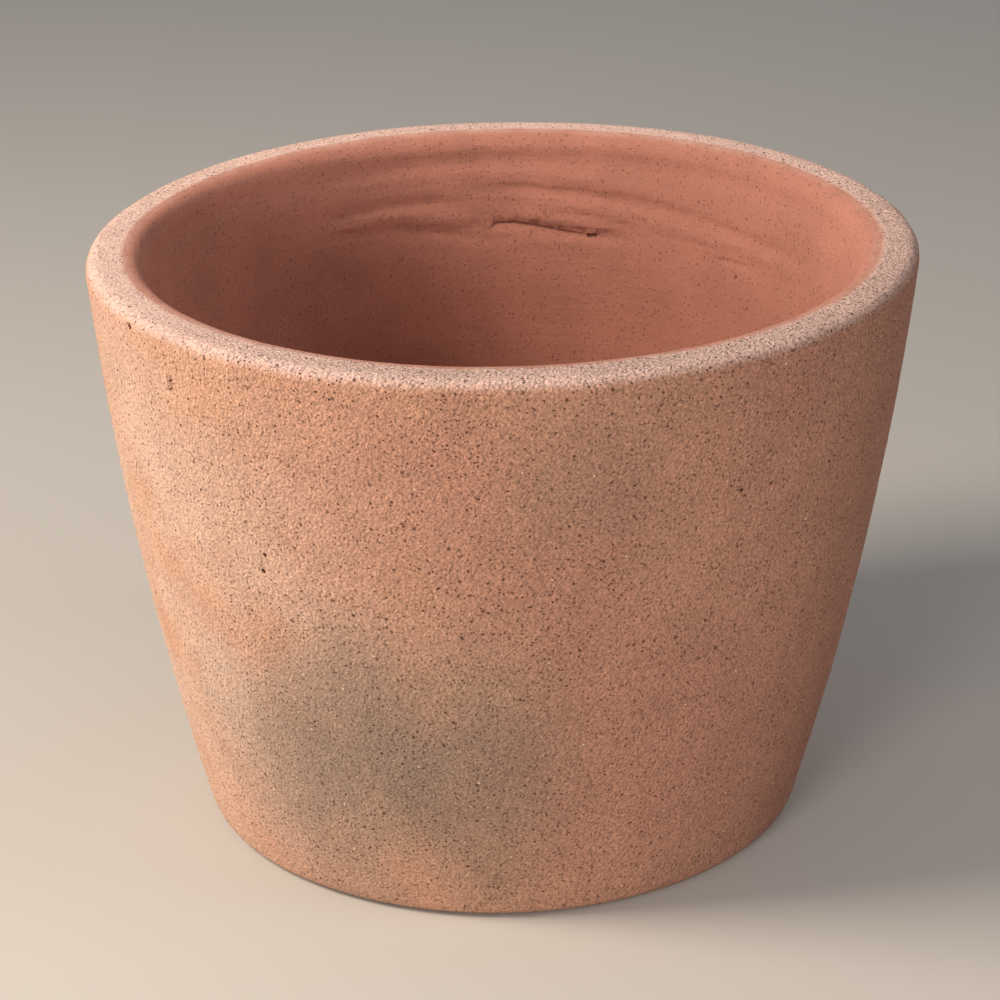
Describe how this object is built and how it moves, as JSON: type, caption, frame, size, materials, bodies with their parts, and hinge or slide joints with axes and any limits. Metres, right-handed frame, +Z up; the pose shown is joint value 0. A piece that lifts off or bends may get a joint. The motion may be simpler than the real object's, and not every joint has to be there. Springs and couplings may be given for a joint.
{
  "type": "plant pot",
  "caption": "Round tapered terracotta plant pot with a thick, gently bowed wall, a flat rounded lip and a drain hole in the middle of its floor.",
  "frame": {"origin": "centre of the ring that the pot stands on, at ground level", "axes": "+Z up along the pot's axis of symmetry"},
  "size_m": [0.3499, 0.35, 0.254],
  "materials": {
    "terracotta": "matte, unglazed"
  },
  "bodies": {
    "root": {"pot": "terracotta"}
  },
  "joints": []
}
